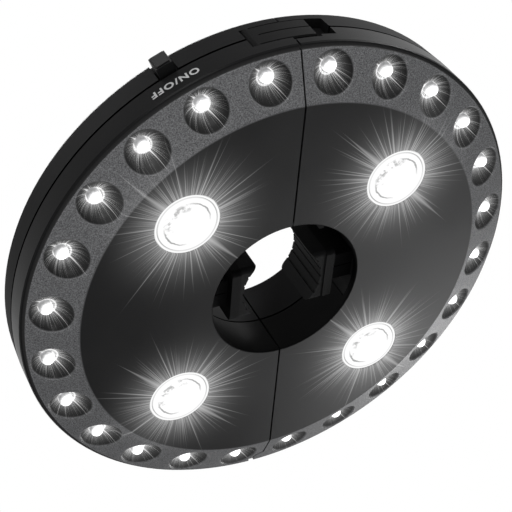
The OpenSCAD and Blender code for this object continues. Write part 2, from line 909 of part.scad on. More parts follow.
module latch_lever() {
    color(shell_colour) difference() {
        union() {
            intersection() {
                ring_piece(latch_in_r, latch_face_r, -latch_reach, latch_pivot_x, latch_z, latch_top_z);
                turned(latch_form);
            }
            translate([latch_pivot_x, latch_pivot_y, latch_z]) cylinder(r = latch_barrel_r, h = latch_h);
            ring_piece(latch_in_r - catch_h, latch_in_r + over, -catch_x - catch_w, -catch_x,
                latch_z, latch_top_z);
        }
        translate([latch_pivot_x, latch_pivot_y, latch_z - over])
            cylinder(r = latch_pin_r + pin_slip, h = latch_h + 2 * over);
        ring_piece(latch_face_r - latch_line_d, outer_r + over, -reach, latch_pivot_x - latch_barrel_r,
            latch_z + latch_h / 2, latch_z + latch_h / 2 + latch_line_w);
    }
}

module latch_pin() {
    pin_end = latch_block_wall - slip;
    color(steel_colour) translate([latch_pivot_x, latch_pivot_y, latch_z - slip - pin_end])
        cylinder(r = latch_pin_r, h = latch_h + 2 * slip + 2 * pin_end);
}

module hinge_pin() {
    color(steel_colour) translate([0, hinge_y, hinge_pin_z + touch_gap])
        cylinder(r = hinge_pin_r, h = hinge_pin_top_z - hinge_pin_z);
}

// Power button, its plunger, the switch and its board
module power_button() {
    color(shell_colour) rotate([0, 0, button_angle]) {
        slab(button_block_x - touch_gap, outer_r + button_out - button_chamfer, button_w / 2,
            button_z, button_z + button_h);
        slab(outer_r, outer_r + button_out, button_w / 2 - button_chamfer, button_z + button_chamfer,
            button_z + button_h - button_chamfer);
        slab(button_block_x - touch_gap - button_flange_t, button_block_x - touch_gap,
            button_w / 2 + button_flange, button_z - button_flange, button_z + button_h + button_flange);
    }
}

module switch_plunger() {
    plunger_end = button_block_x - touch_gap - button_flange_t;
    color(rubber_colour) rotate([0, 0, button_angle])
        translate([plunger_x, 0, button_z + button_h / 2]) rotate([0, 90, 0])
            cylinder(r = plunger_r, h = plunger_end - plunger_x);
}

module tact_switch() {
    color(rubber_colour) rotate([0, 0, button_angle]) difference() {
        slab(switch_x, switch_x + switch_t, switch_s / 2, button_z + button_h / 2 - switch_s / 2,
            button_z + button_h / 2 + switch_s / 2);
        translate([plunger_x - button_travel - touch_gap, 0, button_z + button_h / 2]) rotate([0, 90, 0])
            cylinder(r = plunger_r + plunger_slip, h = outer_r);
    }
}

module switch_board() {
    color(board_colour) rotate([0, 0, button_angle])
        slab(switch_x - board_t, switch_x, switch_board_w / 2, switch_board_z, shelf_z);
}

// Batteries, contacts and door of one half
module battery_cell(index, turn) {
    nub = cell_len + nub_h;
    color(cell_colour) translate([cell_x + index * cell_pitch, 0, cell_mid_z]) rotate([turn * 90, 0, 0])
        translate([0, 0, contact_spring_len / 2 - nub / 2]) {
            cylinder(r = cell_r, h = cell_len);
            cylinder(r = nub_r, h = nub);
        }
}

module battery_plates() {
    color(steel_colour) for (side = [-1, 1])
        translate([bay_x + touch_gap, side * (bay_half - plate_t / 2) - plate_t / 2, tray_z])
            cube([bay_end_x - bay_x - 2 * touch_gap, plate_t, 2 * cell_r]);
}

module battery_springs() {
    color(steel_colour) for (index = [0, 1])
        translate([cell_x + index * cell_pitch, 0, cell_mid_z]) rotate([index == 0 ? -90 : 90, 0, 0])
            translate([0, 0, -bay_half + plate_t])
                coil(contact_spring_len, contact_spring_r, contact_spring_tip_r, contact_wire_r, contact_turns);
}

module battery_door() {
    color(shell_colour) difference() {
        union() {
            intersection() {
                turned(rear_form);
                slab(door_x, outer_r, door_half, door_z + tread, height);
            }
            slab(door_rib_x, door_rib_x + door_rib_len, door_half + door_rib,
                door_z + (door_t - door_rib_h) / 2, door_z + (door_t + door_rib_h) / 2);
        }
        for (i = [0 : grip_line_count - 1])
            slab(door_grip_x + i * grip_line_step, door_grip_x + i * grip_line_step + grip_line_w,
                grip_line_len / 2 - i * grip_line_w, height - grip_line_d, height + over);
    }
}

// Fold-out hook of one half and its pin
module hook() {
    color(shell_colour) translate([hook_x, hook_y, 0]) difference() {
        union() {
            translate([0, 0, hook_top_z - hook_t]) {
                translate([-hook_stem_w / 2, 0, 0]) cube([hook_stem_w, hook_len - hook_hole_r, hook_t]);
                translate([0, hook_len, 0]) cylinder(r = hook_loop_r, h = hook_t);
            }
            translate([-hook_barrel_w / 2, 0, hook_z]) rotate([0, 90, 0])
                cylinder(r = hook_barrel_r, h = hook_barrel_w);
        }
        translate([0, hook_len, 0]) cylinder(r = hook_hole_r, h = height + over);
        translate([0, hook_len - hook_loop_r - over, 0])
            cube([hook_loop_r + over, hook_loop_r + over, height + over]);
        translate([-outer_r, 0, hook_z]) rotate([0, 90, 0]) cylinder(r = hook_pin_r + pin_slip, h = reach);
    }
}

module hook_pin() {
    color(steel_colour) translate([hook_x - hook_pocket_half - hook_pocket_wall / 2 + touch_gap, hook_y, hook_z])
        rotate([0, 90, 0]) cylinder(r = hook_pin_r, h = 2 * hook_pocket_half + hook_pocket_wall - 2 * touch_gap);
}

module housing_screws() {
    color(steel_colour) at_screws() difference() {
        union() {
            translate([0, 0, screw_seat_z - screw_len]) cylinder(r = screw_r, h = screw_len);
            translate([0, 0, screw_seat_z]) cylinder(r = screw_head_r, h = screw_head_h);
        }
        translate([0, 0, screw_seat_z + screw_head_h - screw_slot_d]) {
            translate([-screw_head_r / 2, -screw_slot_w / 2, 0]) cube([screw_head_r, screw_slot_w, height]);
            translate([-screw_slot_w / 2, -screw_head_r / 2, 0]) cube([screw_slot_w, screw_head_r, height]);
        }
    }
}

// The two halves
module half_b() {
    mirror([1, 0, 0]) children();
}

module at_spot(index) {
    side_x = index < 3 ? 1 : -1;
    side_y = index % 2 == 1 ? 1 : -1;
    translate([side_x * spot_xy, side_y * spot_xy, 0]) children();
}

module spot_leds() {
    color(lamp_colour) at_spots() spot_led();
}

front_cover(true);  // front_cover_a
rear_housing(true);  // rear_housing_a
half_b() front_cover(false);  // front_cover_b
half_b() rear_housing(false);  // rear_housing_b
ring_board();  // ring_board_a
half_b() ring_board();  // ring_board_b
ring_leds();  // ring_leds_a
half_b() ring_leds();  // ring_leds_b
at_spot(1) spot_lens();  // spot_lens_1
at_spot(2) spot_lens();  // spot_lens_2
at_spot(3) spot_lens();  // spot_lens_3
at_spot(4) spot_lens();  // spot_lens_4
at_spot(1) spot_reflector();  // spot_reflector_1
at_spot(2) spot_reflector();  // spot_reflector_2
at_spot(3) spot_reflector();  // spot_reflector_3
at_spot(4) spot_reflector();  // spot_reflector_4
at_spot(1) spot_board();  // spot_board_1
at_spot(2) spot_board();  // spot_board_2
at_spot(3) spot_board();  // spot_board_3
at_spot(4) spot_board();  // spot_board_4
spot_leds();  // spot_leds_a
half_b() spot_leds();  // spot_leds_b
jaw();  // jaw_a
half_b() jaw();  // jaw_b
jaw_pad();  // jaw_pad_a
half_b() jaw_pad();  // jaw_pad_b
jaw_spring();  // jaw_spring_a
half_b() jaw_spring();  // jaw_spring_b
latch_lever();
latch_pin();
hinge_pin();
power_button();
switch_plunger();
tact_switch();
switch_board();
battery_door();  // battery_door_a
half_b() battery_door();  // battery_door_b
battery_cell(0, -1);  // battery_cell_1
battery_cell(1, 1);  // battery_cell_2
half_b() battery_cell(0, -1);  // battery_cell_3
half_b() battery_cell(1, 1);  // battery_cell_4
battery_plates();  // battery_plates_a
half_b() battery_plates();  // battery_plates_b
battery_springs();  // battery_springs_a
half_b() battery_springs();  // battery_springs_b
hook();  // hook_a
rotate([0, 0, 180]) hook();  // hook_b
hook_pin();  // hook_pin_a
rotate([0, 0, 180]) hook_pin();  // hook_pin_b
housing_screws();  // housing_screws_a
half_b() housing_screws();  // housing_screws_b
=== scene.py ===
# %% [markdown]
# # A clip-on patio light
#
# The real light is a flat round box in two hinged halves that close into a ring. Its covers,
# jaws, lever, doors and hooks come from the imported CAD model, which this script loads as a fixed
# frame. What is added here is the look: the moulded grain, the lit lamps with their glow, the
# marks in the pressed lenses, the printed word on the rim, and smoothed copies of the two jaw
# springs.

# %% Load the imported model
import math
import bmesh
import bpy
from mathutils import Matrix, Vector


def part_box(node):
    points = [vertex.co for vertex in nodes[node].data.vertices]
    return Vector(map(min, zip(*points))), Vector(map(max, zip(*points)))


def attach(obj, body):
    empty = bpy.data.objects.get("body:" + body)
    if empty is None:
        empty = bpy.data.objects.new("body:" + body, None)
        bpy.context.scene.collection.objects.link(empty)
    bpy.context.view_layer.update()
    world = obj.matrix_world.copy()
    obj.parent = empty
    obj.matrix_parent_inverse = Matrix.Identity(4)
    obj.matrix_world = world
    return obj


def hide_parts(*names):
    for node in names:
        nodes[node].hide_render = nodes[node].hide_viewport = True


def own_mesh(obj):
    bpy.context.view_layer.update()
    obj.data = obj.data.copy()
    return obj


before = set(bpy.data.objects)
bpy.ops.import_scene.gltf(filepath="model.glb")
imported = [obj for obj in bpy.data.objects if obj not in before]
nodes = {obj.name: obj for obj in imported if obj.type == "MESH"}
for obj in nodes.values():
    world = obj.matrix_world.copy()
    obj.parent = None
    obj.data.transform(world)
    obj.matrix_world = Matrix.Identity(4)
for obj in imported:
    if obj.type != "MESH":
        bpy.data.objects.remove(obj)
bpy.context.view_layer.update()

# %% [markdown]
# ## Sizes that the finishes share
#
# Every pattern and the printed word sit on a CAD piece, so their places follow from a few radii
# and heights of the housing. They are written once here, in metres, and measured from the
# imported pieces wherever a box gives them: the small lamp that is farthest out ends in a flange,
# and that flange reaches a known way past the circle that the lamps stand on.

# %% Shared sizes
MM = 0.001
OUTER_R = 100 * MM
FACE_R = 80.7 * MM
BAND_R = 98.5 * MM
BAND_RISE = 7.2 * MM
PART_Z = 18.4 * MM
HOLE_R = 29.7 * MM
SPOT_XY = 58.4 * MM * math.cos(math.radians(45))
BUTTON_ANGLE = 64.9
LAMPS = 24
LAMP_FLANGE = 2.9 * MM
lamp_low, lamp_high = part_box("ring_leds_a")
LAMP_R = lamp_high.x - LAMP_FLANGE
print("small lamps sit at a radius of", round(1000 * LAMP_R, 2), "mm")

# %% [markdown]
# ## The camera
#
# The picture looks up at the lamp face from below, a little to the side. Circles of known
# radius, the lamp bowls and the spot lights of each half fix where the camera stood, so its
# place and its axes are written here as numbers that were worked out once from them. Its third
# axis follows from the other two.

# %% Camera
CAMERA_PLACE = (0.186517, 0.311979, -0.3261)
CAMERA_RIGHT = (-0.9059, 0.0687, -0.4179)
CAMERA_BACK = (0.3669, 0.6202, -0.6934)
FOCAL_LENGTH = 91.77
FILM_WIDTH = 36

scene = bpy.context.scene
camera_data = bpy.data.cameras.new("photo_camera")
camera_data.sensor_width = FILM_WIDTH
camera_data.lens = FOCAL_LENGTH
camera = bpy.data.objects.new("photo_camera", camera_data)
scene.collection.objects.link(camera)
right = Vector(CAMERA_RIGHT).normalized()
back = Vector(CAMERA_BACK).normalized()
axes = Matrix((right, back.cross(right).normalized(), back)).transposed().to_4x4()
camera.matrix_world = Matrix.Translation(CAMERA_PLACE) @ axes
scene.camera = camera
scene.view_settings.view_transform = "Standard"
print("camera distance:", round(camera.location.length, 3), "m")

# %% [markdown]
# ## Helpers for materials
#
# A node material can be wired by hand in the editor or built in code. In code, most of the
# lines would only add a node and join two sockets, so one short helper does that, and a few
# more give the sums that come up in every pattern. A mask is a number that is 1 where an effect
# shows and 0 elsewhere, and a ramp between two values makes its edge soft.

# %% Node helpers
def put(tree, kind, inputs=(), **settings):
    """Adds a node, with values or other nodes' sockets for its inputs."""
    node = tree.nodes.new(kind)
    for name, value in settings.items():
        setattr(node, name, value)
    for key, value in dict(inputs).items():
        if isinstance(value, bpy.types.NodeSocket):
            tree.links.new(value, node.inputs[key])
        else:
            node.inputs[key].default_value = value
    return node


def math_node(tree, operation, *values, **settings):
    node = put(tree, "ShaderNodeMath", dict(enumerate(values)), operation=operation, **settings)
    return node.outputs[0]


def plus(tree, first, second):
    return math_node(tree, "ADD", first, second)


def minus(tree, first, second):
    return math_node(tree, "SUBTRACT", first, second)


def times(tree, first, second):
    return math_node(tree, "MULTIPLY", first, second)


def over(tree, first, second):
    return math_node(tree, "DIVIDE", first, second)


def outside(tree, mask):
    return minus(tree, 1.0, mask)


def ramp(tree, value, low, high):
    """0 below low, 1 above high, and a straight ramp between them."""
    return put(tree, "ShaderNodeMapRange", {"Value": value, "From Min": low, "From Max": high}).outputs[0]


def near(tree, value, middle, inner, outer):
    """1 where the value is within inner of the middle, falling to 0 at outer."""
    off = math_node(tree, "ABSOLUTE", minus(tree, value, middle))
    return outside(tree, ramp(tree, off, inner, outer))


def length_of(tree, x, y):
    return math_node(tree, "SQRT", plus(tree, times(tree, x, x), times(tree, y, y)))


def object_place(tree):
    return put(tree, "ShaderNodeTexCoord").outputs["Object"]


def split_place(tree):
    return put(tree, "ShaderNodeSeparateXYZ", {"Vector": object_place(tree)}).outputs


print("sums:", [f.__name__ for f in (plus, minus, times, over, outside, ramp, near, length_of)])

# %% [markdown]
# ## Helpers for finishes
#
# Each finish is one material on the Principled shader. A value that is the same all over goes
# straight onto the shader's socket, because nodes are only for what changes over the surface.
# CAD pieces keep their own slots, and a finish goes into them, so that a piece always stays the
# mesh that was packed. A finish that glows turns a number into a grey for the shader's
# emission, at a strength of 1.

# %% Finish helpers
def new_material(name, **constants):
    material = bpy.data.materials.new(name)
    material.use_nodes = True
    tree = material.node_tree
    shader = tree.nodes["Principled BSDF"]
    for key, value in constants.items():
        shader.inputs[key.replace("_", " ")].default_value = value
    return material, tree, shader


def both(name):
    """The names of a piece in half A and in half B."""
    return [name + "_a", name + "_b"]


def all_four(name):
    """The names of a piece that comes in fours, as the lenses and the battery cells do."""
    return [f"{name}_{i}" for i in (1, 2, 3, 4)]


def dress(material, *names):
    """Gives CAD pieces a new finish by changing what their own slots hold."""
    for name in names:
        piece = nodes[name]
        if not piece.material_slots:
            piece.data.materials.append(material)
        for slot in piece.material_slots:
            slot.material = material


def glow_with(tree, shader, light):
    colour = put(tree, "ShaderNodeCombineColor", {"Red": light, "Green": light, "Blue": light})
    tree.links.new(colour.outputs[0], shader.inputs["Emission Color"])
    shader.inputs["Emission Strength"].default_value = 1.0


def new_group(name, inputs, outputs):
    """An empty node group with number sockets, its input sockets and its output node."""
    tree = bpy.data.node_groups.new(name, "ShaderNodeTree")
    for direction, names in (("INPUT", inputs), ("OUTPUT", outputs)):
        for socket in names:
            tree.interface.new_socket(socket, in_out=direction, socket_type="NodeSocketFloat")
    return tree, tree.nodes.new("NodeGroupInput").outputs, tree.nodes.new("NodeGroupOutput")


def finish_group(tree, end, values):
    for name, value in values.items():
        tree.links.new(value, end.inputs[name])
    print(tree.name, "puts out:", list(values))
    return tree


print("pieces come in pairs, as", both("jaw"), "and in fours, as", all_four("spot_lens"))

# %% [markdown]
# ## Moulded grain, shared by all the plastics
#
# A charcoal moulding isn't one flat black. Its mould was spark-eroded, which leaves a fine even
# grain that scatters light, and handling leaves soft patches that are a little smoother. Two
# noises at different scales give that: the fine one is the grain, the coarse one is the
# handling. As several plastics use it, it is a node group that puts out only numbers.

# %% Grain group
PATCH_EDGE = (0.3, 0.7)
NOISE_MIDDLE = 0.5


def build_grain():
    sockets = (("Fine", "Coarse", "Speckle"), ("Height", "Speck", "Patch"))
    tree, given, end = new_group("moulded_grain", *sockets)
    place = object_place(tree)
    fine = put(tree, "ShaderNodeTexNoise",
               {"Vector": place, "Scale": given["Fine"], "Detail": 3.0, "Roughness": 0.65}).outputs[0]
    coarse = put(tree, "ShaderNodeTexNoise",
                 {"Vector": place, "Scale": given["Coarse"], "Detail": 4.0}).outputs[0]
    speck = plus(tree, times(tree, minus(tree, fine, NOISE_MIDDLE), given["Speckle"]), 1.0)
    patch = ramp(tree, coarse, *PATCH_EDGE)
    return finish_group(tree, end, {"Height": fine, "Speck": speck, "Patch": patch})


GRAIN = build_grain()


def add_grain(tree, fine, coarse, speckle):
    return put(tree, "ShaderNodeGroup", {"Fine": fine, "Coarse": coarse, "Speckle": speckle},
               node_tree=GRAIN).outputs


# %% [markdown]
# ## Where the nearest lamp is
#
# Much of the look hangs on the distance to the nearest lamp: the glow in its bowl, the streaks
# over the cover, the bright core of the lamp. The small lamps are evenly spaced, so folding the
# angle round the Z axis finds the nearest one, and the four spot lights are mirror places, so
# the signs of X and Y find theirs. Each lamp also gets a seed, so that no two have the same
# streaks.

# %% Lamp places group
LAMP_SEED_STEP = 3.7
SPOT_SEED_STEP = 5.0


def build_lamp_places():
    names = ("Lamp X", "Lamp Y", "Lamp Seed", "Spot X", "Spot Y", "Spot Seed")
    tree, _, end = new_group("lamp_places", (), names)
    place = split_place(tree)
    x, y = place["X"], place["Y"]
    step = 2 * math.pi / LAMPS
    index = math_node(tree, "FLOOR", over(tree, math_node(tree, "ARCTAN2", y, x), step))
    middle = times(tree, plus(tree, index, 0.5), step)
    lamp_x = minus(tree, x, times(tree, math_node(tree, "COSINE", middle), LAMP_R))
    lamp_y = minus(tree, y, times(tree, math_node(tree, "SINE", middle), LAMP_R))
    sign_x, sign_y = math_node(tree, "SIGN", x), math_node(tree, "SIGN", y)
    spot_x = minus(tree, x, times(tree, sign_x, SPOT_XY))
    spot_y = minus(tree, y, times(tree, sign_y, SPOT_XY))
    spot_seed = plus(tree, sign_x, times(tree, sign_y, SPOT_SEED_STEP))
    lamp_seed = times(tree, index, LAMP_SEED_STEP)
    values = (lamp_x, lamp_y, lamp_seed, spot_x, spot_y, spot_seed)
    return finish_group(tree, end, dict(zip(names, values)))


LAMP_PLACES = build_lamp_places()


def add_lamp_places(tree):
    return put(tree, "ShaderNodeGroup", node_tree=LAMP_PLACES).outputs


# %% [markdown]
# ## Streaks of light
#
# A lit lamp on grained plastic seems to throw fine streaks, some long and most short, and here
# they are painted light. A noise read along the direction from the lamp gives one value per
# streak. The limit that it has to pass rises with the distance, so strong streaks reach far and
# taper, and weak ones stop early. One long streak runs the same way at every lamp, as in the
# picture. A soft painted haze lies under all, and falls off much faster than the streaks do.

# %% Streaks group
NEAR_LIMIT, LIMIT_RISE = 0.45, 0.32
STREAK_CONTRAST = 7.0
STREAK_FALL, HAZE_FALL = 1.5, 5.0
LONG_STREAK_TAPER = 1.4
HAIR = 0.0001


def build_streaks():
    inputs = ("X", "Y", "Seed", "Count", "Start", "Reach", "Line")
    tree, given, end = new_group("streaks", inputs, ("Streaks", "Haze", "Distance"))
    distance = length_of(tree, given["X"], given["Y"])
    beyond = math_node(tree, "MAXIMUM", minus(tree, distance, given["Start"]), 0.0)
    share = math_node(tree, "MINIMUM", over(tree, beyond, given["Reach"]), 1.0)
    direction = {axis: times(tree, over(tree, given[axis], distance), given["Count"]) for axis in "XY"}
    wave = put(tree, "ShaderNodeCombineXYZ", {**direction, "Z": given["Seed"]}).outputs[0]
    noise = put(tree, "ShaderNodeTexNoise",
                {"Vector": wave, "Scale": 1.0, "Detail": 3.0, "Roughness": 0.8}).outputs[0]
    limit = plus(tree, times(tree, share, LIMIT_RISE), NEAR_LIMIT)
    fine = math_node(tree, "MULTIPLY", minus(tree, noise, limit), STREAK_CONTRAST, use_clamp=True)
    long = long_streak(tree, given, share)
    left = minus(tree, 1.0, share)
    fading = math_node(tree, "POWER", left, STREAK_FALL)
    streaks = times(tree, math_node(tree, "MAXIMUM", fine, long), fading)
    haze = math_node(tree, "POWER", left, HAZE_FALL)
    return finish_group(tree, end, {"Streaks": streaks, "Haze": haze, "Distance": distance})


def long_streak(tree, given, share):
    """A wedge along the line where X and Y are equal, thinner with the square of its taper."""
    across = math_node(tree, "ABSOLUTE", minus(tree, given["X"], given["Y"]))
    taper = math_node(tree, "MAXIMUM", minus(tree, 1.0, times(tree, share, LONG_STREAK_TAPER)), HAIR)
    width = times(tree, times(tree, given["Line"], taper), taper)
    return math_node(tree, "MULTIPLY", minus(tree, 1.0, over(tree, across, width)), 1.0, use_clamp=True)


STREAKS = build_streaks()


def add_streaks(tree, places, kind, **values):
    inputs = {axis: places[f"{kind} {axis}"] for axis in ("X", "Y", "Seed")}
    return put(tree, "ShaderNodeGroup", {**inputs, **values}, node_tree=STREAKS).outputs


# %% [markdown]
# ## The zones of the front cover
#
# The cover is one moulding with several finishes. The flat face round the hole is fairly smooth
# and dark. The sloping band with the lamp bowls is coarser and looks lighter, because its grain
# scatters more light. The rim is darker again, and the bowls, the hole wall and the groove where
# the cover meets the rear housing are darker still, with painted shade in these hollows. Objects
# of their own would leave seams that aren't there, so one material changes with the radius and
# with the depth below the band. Each zone is a mask, and each pair of lengths below is the soft
# edge where a zone starts or ends.

# %% Masks of the front cover
HOLE_END = (HOLE_R + 0.2 * MM, HOLE_R + 0.6 * MM)
BAND_START = (FACE_R - 0.3 * MM, FACE_R + 0.3 * MM)
BAND_DEPTH = (0.2 * MM, 0.7 * MM)
BOWL_START = (FACE_R, FACE_R + 1 * MM)
BOWL_DEPTH = (0.3 * MM, 1 * MM)
RIM_START = (BAND_R - 0.2 * MM, BAND_R)
LIP_START = (BAND_R - 0.7 * MM, BAND_R - 0.1 * MM)
LIP_END = (BAND_R + 0.3 * MM, BAND_R + 0.9 * MM)
FRONT_END = (12.5 * MM, 14.5 * MM)
GROOVE_HALF = (0.4 * MM, 0.6 * MM)


def seam_mask(tree, z):
    """1 in the narrow groove between the front cover and the rear housing."""
    return near(tree, z, PART_Z, *GROOVE_HALF)


def cover_zones(tree, radius, z):
    band_z = times(tree, minus(tree, radius, FACE_R), BAND_RISE / (BAND_R - FACE_R))
    depth = minus(tree, z, band_z)
    shallow = outside(tree, ramp(tree, depth, *BAND_DEPTH))
    rim = ramp(tree, radius, *RIM_START)
    before_lip_end = outside(tree, ramp(tree, radius, *LIP_END))
    return {
        "band": times(tree, ramp(tree, radius, *BAND_START), shallow),
        "bowl": times(tree, ramp(tree, radius, *BOWL_START), ramp(tree, depth, *BOWL_DEPTH)),
        "rim": rim,
        "hole": outside(tree, ramp(tree, radius, *HOLE_END)),
        "groove": times(tree, seam_mask(tree, z), rim),
        "lip": times(tree, ramp(tree, radius, *LIP_START), before_lip_end),
        "front": outside(tree, ramp(tree, z, *FRONT_END)),
    }


print("the band rises", round(math.degrees(math.atan(BAND_RISE / (BAND_R - FACE_R))), 1), "degrees")

# %% [markdown]
# ## The plastic of the front cover
#
# The zones' greys are laid over each other in turn, from the face to the groove, and the grain
# then speckles them. The band takes a much coarser speckle, because there the picture shows
# single sparkling grains. Black plastic mirrors a studio lamp weakly, so its refraction is set
# low, and the bowls, the hole wall and the groove mirror even less, as painted shade.

# %% Plastic of the front cover
FACE_SHADE, BAND_SHADE = 0.008, 0.112
# The bowl, hole and groove greys are painted shade in these hollows; the rim's grey is its tone.
ZONE_GREYS_AND_PAINTED_SHADE = {"bowl": 0.005, "rim": 0.007, "hole": 0.0015, "groove": 0.0004}
COVER_IOR = 1.14
PLASTIC_SPECULAR = 0.5
BOWL_SHADE_DULLING, HOLE_SHADE_DULLING = 0.2, 0.6
FACE_ROUGHNESS = 0.33
BAND_ROUGHER, BOWL_SMOOTHER, PATCH_ROUGHER = 0.14, 0.06, 0.06
FACE_RELIEF, BAND_RELIEF = 0.25, 0.8
COVER_BUMP = 0.35
BLUE_LEAN = 1.02
BUMP_DEPTH = 0.2 * MM


def mix_grey(tree, factor, first, second):
    """Mixes two greys, or a colour so far and a grey, by a factor between 0 and 1."""
    node = put(tree, "ShaderNodeMix", data_type="RGBA")
    tree.links.new(factor, node.inputs[0])
    for socket, value in ((node.inputs[6], first), (node.inputs[7], second)):
        if isinstance(value, bpy.types.NodeSocket):
            tree.links.new(value, socket)
        else:
            socket.default_value = (value, value, value * BLUE_LEAN, 1)
    return node.outputs[2]


def colour_cover(tree, shader, zones, grain, coarse):
    shade = mix_grey(tree, zones["band"], FACE_SHADE, BAND_SHADE)
    for zone, zone_shade in ZONE_GREYS_AND_PAINTED_SHADE.items():
        shade = mix_grey(tree, zones[zone], shade, zone_shade)
    speck = put(tree, "ShaderNodeMix", {0: zones["band"], 2: grain["Speck"], 3: coarse["Speck"]})
    base = put(tree, "ShaderNodeVectorMath", {0: shade, "Scale": speck.outputs[0]}, operation="SCALE")
    tree.links.new(base.outputs[0], shader.inputs["Base Color"])


def roughen_cover(tree, shader, zones, grain):
    band = zones["band"]
    rough = plus(tree, times(tree, band, BAND_ROUGHER), times(tree, grain["Patch"], PATCH_ROUGHER))
    rough = plus(tree, rough, minus(tree, FACE_ROUGHNESS, times(tree, zones["bowl"], BOWL_SMOOTHER)))
    tree.links.new(rough, shader.inputs["Roughness"])
    # Less gloss in the bowls and on the hole wall, and none in the groove, is painted shade.
    gloss = minus(tree, PLASTIC_SPECULAR, times(tree, zones["bowl"], BOWL_SHADE_DULLING))
    gloss = times(tree, gloss, outside(tree, zones["groove"]))
    gloss = times(tree, gloss, outside(tree, times(tree, zones["hole"], HOLE_SHADE_DULLING)))
    tree.links.new(gloss, shader.inputs["Specular IOR Level"])
    height = times(tree, grain["Height"], plus(tree, times(tree, band, BAND_RELIEF), FACE_RELIEF))
    bump = put(tree, "ShaderNodeBump", {"Height": height, "Strength": COVER_BUMP, "Distance": BUMP_DEPTH})
    tree.links.new(bump.outputs[0], shader.inputs["Normal"])


print("cover greys, face to groove:", [FACE_SHADE, BAND_SHADE, *ZONE_GREYS_AND_PAINTED_SHADE.values()])

# %% [markdown]
# ## The glow on the front cover
#
# The lit lamps throw streaks and haze on the plastic round them. Real light would do that too,
# but it would take far more samples to come out clean, so the glow is painted light, a weak
# emission. Each small lamp also has a painted bright ring where its foot meets the bowl. The lamps
# on the far side, which the picture sees at a low angle, get more painted haze. Masks keep the
# glow off the rim, the hole wall and the back of the bowls, and the lip at the band's edge gets a
# little painted light that lifts it out of its shade.

# %% Glow and finished front cover
LAMP_STREAKS = {"Count": 44.0, "Start": 1.8 * MM, "Reach": 11.2 * MM, "Line": 1.1 * MM}
SPOT_STREAKS = {"Count": 24.0, "Start": 11.8 * MM, "Reach": 38 * MM, "Line": 3 * MM}
LAMP_GLOW, SPOT_GLOW, SPOT_HAZE = 1.2, 0.31, 0.2
LEAST_HAZE, MORE_HAZE = 0.3, 0.5
FAR_SIDE, FAR_EDGE = (-0.51, -0.86), (-50 * MM, 90 * MM)
FOOT_R, FOOT_HALF, FOOT_PAINTED_HIGHLIGHT = 3 * MM, (0.2 * MM, 0.4 * MM), 0.5
LIP_PAINTED_LIGHT = 0.014
FACE_GRAIN = {"fine": 1500.0, "coarse": 40.0, "speckle": 0.5}
BAND_GRAIN = {"fine": 2300.0, "coarse": 40.0, "speckle": 3.6}


def lamp_glow(tree, places, place, bowl):
    lamp = add_streaks(tree, places, "Lamp", **LAMP_STREAKS)
    # Painted haze, stronger on the side of the cover away from the camera.
    far = plus(tree, times(tree, place["X"], FAR_SIDE[0]), times(tree, place["Y"], FAR_SIDE[1]))
    haze = plus(tree, times(tree, ramp(tree, far, *FAR_EDGE), MORE_HAZE), LEAST_HAZE)
    glow = plus(tree, times(tree, lamp["Streaks"], LAMP_GLOW), times(tree, lamp["Haze"], haze))
    # A painted bright ring where each small lamp's foot meets its bowl.
    foot = times(tree, near(tree, lamp["Distance"], FOOT_R, *FOOT_HALF), FOOT_PAINTED_HIGHLIGHT)
    return plus(tree, glow, times(tree, foot, bowl))


def spot_glow(tree, places):
    spot = add_streaks(tree, places, "Spot", **SPOT_STREAKS)
    return plus(tree, times(tree, spot["Streaks"], SPOT_GLOW), times(tree, spot["Haze"], SPOT_HAZE))


def cover_glow(tree, places, place, zones):
    glow = plus(tree, lamp_glow(tree, places, place, zones["bowl"]), spot_glow(tree, places))
    glow = times(tree, glow, outside(tree, zones["rim"]))
    # The lip gets a little painted light, which lifts it out of its shade.
    glow = plus(tree, glow, times(tree, zones["lip"], LIP_PAINTED_LIGHT))
    return times(tree, times(tree, glow, zones["front"]), outside(tree, zones["hole"]))


def cover_finish():
    material, tree, shader = new_material("charcoal_cover", IOR=COVER_IOR)
    grain = add_grain(tree, **FACE_GRAIN)
    coarse = add_grain(tree, **BAND_GRAIN)
    places = add_lamp_places(tree)
    place = split_place(tree)
    zones = cover_zones(tree, length_of(tree, place["X"], place["Y"]), place["Z"])
    colour_cover(tree, shader, zones, grain, coarse)
    roughen_cover(tree, shader, zones, grain)
    glow_with(tree, shader, cover_glow(tree, places, place, zones))
    return material


COVER = cover_finish()
dress(COVER, *both("front_cover"))
print("front cover finish has", len(COVER.node_tree.nodes), "nodes")

# %% [markdown]
# ## The plain plastics
#
# Housing, doors, hooks, lever and button come from the same charcoal plastic, without the
# coarse band, and the jaws, the pads and the switch from darker and softer ones. The rim in
# the picture is nearly black. One function serves them all: the grain's patches make the shade
# and the sheen wander a little, and the housing's side of the groove is painted black without
# gloss, as its shade.

# %% Plain charcoal finishes
PATCH_SHARE = 0.12
PATCH_ROUGHNESS = 0.08
PATCH_SCALE = 30.0
BLUE_SHARE = 0.02


